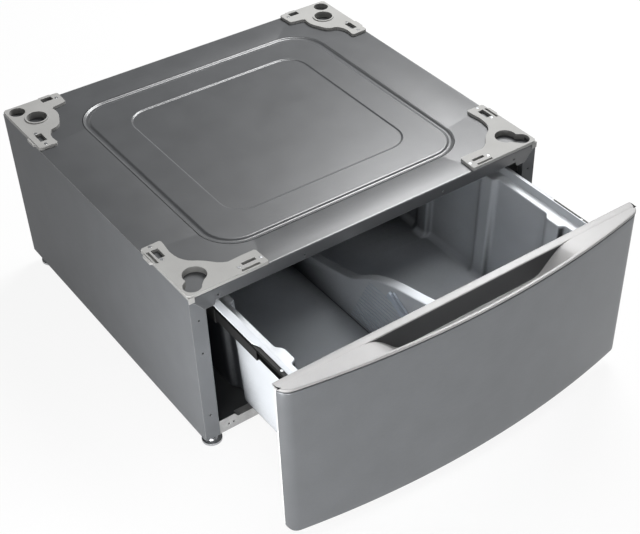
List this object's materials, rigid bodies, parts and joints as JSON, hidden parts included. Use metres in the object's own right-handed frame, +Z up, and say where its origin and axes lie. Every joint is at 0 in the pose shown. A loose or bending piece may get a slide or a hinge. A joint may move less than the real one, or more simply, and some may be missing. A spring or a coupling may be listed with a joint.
{
  "type": "laundry pedestal",
  "caption": "Low steel base cabinet for a washer or dryer, with a deep divided drawer on ball-bearing slides, a bowed front with a scooped top handle, levelling feet and corner brackets.",
  "frame": {"origin": "centre of the part's box in plan, on the floor, with the drawer open as pictured", "axes": "+X to the right seen from the front, +Y from the front to the back, +Z up"},
  "size_m": [0.694, 0.9108, 0.3332],
  "materials": {
    "cabinet_paint": "satin metallic graphite",
    "dark_steel": "satin dark",
    "galvanised": "dull galvanised",
    "zinc": "zinc plated",
    "ball_steel": "polished",
    "black_steel": "black, oiled",
    "bracket_plastic": "matte light grey",
    "tub_plastic": "smooth moulded",
    "backing_plastic": "matte moulded",
    "front_steel": "satin silver",
    "trim_silver": "silver lacquer",
    "dark_plastic": "dark gloss",
    "rubber": "matte"
  },
  "bodies": {
    "cabinet": {"side_panel_left": "cabinet_paint", "side_panel_right": "cabinet_paint", "rear_panel": "cabinet_paint", "top_plate": "cabinet_paint", "base_pan": "dark_steel", "front_rail": "galvanised", "nut_plates": "galvanised", "lock_nuts": "zinc", "bracket_front_left": "bracket_plastic", "bracket_front_right": "bracket_plastic", "bracket_rear_left": "bracket_plastic", "bracket_rear_right": "bracket_plastic", "bracket_screws": "zinc", "slide_outer_left": "black_steel", "slide_outer_right": "black_steel", "slide_support_left": "galvanised", "slide_support_right": "galvanised", "support_rivets": "zinc"},
    "drawer": {"slide_inner_left": "black_steel", "slide_inner_right": "black_steel", "drawer_rail_left": "black_steel", "drawer_rail_right": "black_steel", "slide_bracket_left": "black_steel", "slide_bracket_right": "black_steel", "drawer_rivets": "zinc", "drawer_tub": "tub_plastic", "divider": "tub_plastic", "front_skin": "front_steel", "front_backing": "backing_plastic", "handle_trim": "trim_silver", "pocket_back": "dark_plastic", "front_screws": "zinc", "bumpers": "rubber"},
    "middle_left": {"slide_middle_left": "black_steel"},
    "outer_cage_left": {"cage_outer_left": "zinc", "balls_outer_left": "ball_steel"},
    "inner_cage_left": {"cage_inner_left": "zinc", "balls_inner_left": "ball_steel"},
    "foot_front_left": {"foot_front_left": "zinc", "pad_front_left": "rubber"},
    "foot_rear_left": {"foot_rear_left": "zinc", "pad_rear_left": "rubber"},
    "middle_right": {"slide_middle_right": "black_steel"},
    "outer_cage_right": {"cage_outer_right": "zinc", "balls_outer_right": "ball_steel"},
    "inner_cage_right": {"cage_inner_right": "zinc", "balls_inner_right": "ball_steel"},
    "foot_front_right": {"foot_front_right": "zinc", "pad_front_right": "rubber"},
    "foot_rear_right": {"foot_rear_right": "zinc", "pad_rear_right": "rubber"}
  },
  "joints": [
    {"name": "drawer_slide", "type": "slide", "parent": "cabinet", "child": "drawer", "axis": [0, -1, 0], "range_m": [-0.216, 0.214]},
    {"name": "middle_left_slide", "type": "slide", "parent": "cabinet", "child": "middle_left", "axis": [0, -1, 0], "range_m": [-0.108, 0.107]},
    {"name": "outer_cage_left_slide", "type": "slide", "parent": "cabinet", "child": "outer_cage_left", "axis": [0, -1, 0], "range_m": [-0.054, 0.0535]},
    {"name": "inner_cage_left_slide", "type": "slide", "parent": "cabinet", "child": "inner_cage_left", "axis": [0, -1, 0], "range_m": [-0.162, 0.1605]},
    {"name": "middle_right_slide", "type": "slide", "parent": "cabinet", "child": "middle_right", "axis": [0, -1, 0], "range_m": [-0.108, 0.107]},
    {"name": "outer_cage_right_slide", "type": "slide", "parent": "cabinet", "child": "outer_cage_right", "axis": [0, -1, 0], "range_m": [-0.054, 0.0535]},
    {"name": "inner_cage_right_slide", "type": "slide", "parent": "cabinet", "child": "inner_cage_right", "axis": [0, -1, 0], "range_m": [-0.162, 0.1605]},
    {"name": "foot_front_left_screw", "type": "slide", "parent": "cabinet", "child": "foot_front_left", "axis": [0, 0, 1], "range_m": [-0.006, 0.01]},
    {"name": "foot_front_right_screw", "type": "slide", "parent": "cabinet", "child": "foot_front_right", "axis": [0, 0, 1], "range_m": [-0.006, 0.01]},
    {"name": "foot_rear_left_screw", "type": "slide", "parent": "cabinet", "child": "foot_rear_left", "axis": [0, 0, 1], "range_m": [-0.006, 0.01]},
    {"name": "foot_rear_right_screw", "type": "slide", "parent": "cabinet", "child": "foot_rear_right", "axis": [0, 0, 1], "range_m": [-0.006, 0.01]}
  ],
  "couplings": [
    {"joint": "middle_left_slide", "follows": "drawer_slide", "ratio": 0.5},
    {"joint": "outer_cage_left_slide", "follows": "drawer_slide", "ratio": 0.25},
    {"joint": "inner_cage_left_slide", "follows": "drawer_slide", "ratio": 0.75},
    {"joint": "middle_right_slide", "follows": "drawer_slide", "ratio": 0.5},
    {"joint": "outer_cage_right_slide", "follows": "drawer_slide", "ratio": 0.25},
    {"joint": "inner_cage_right_slide", "follows": "drawer_slide", "ratio": 0.75}
  ]
}
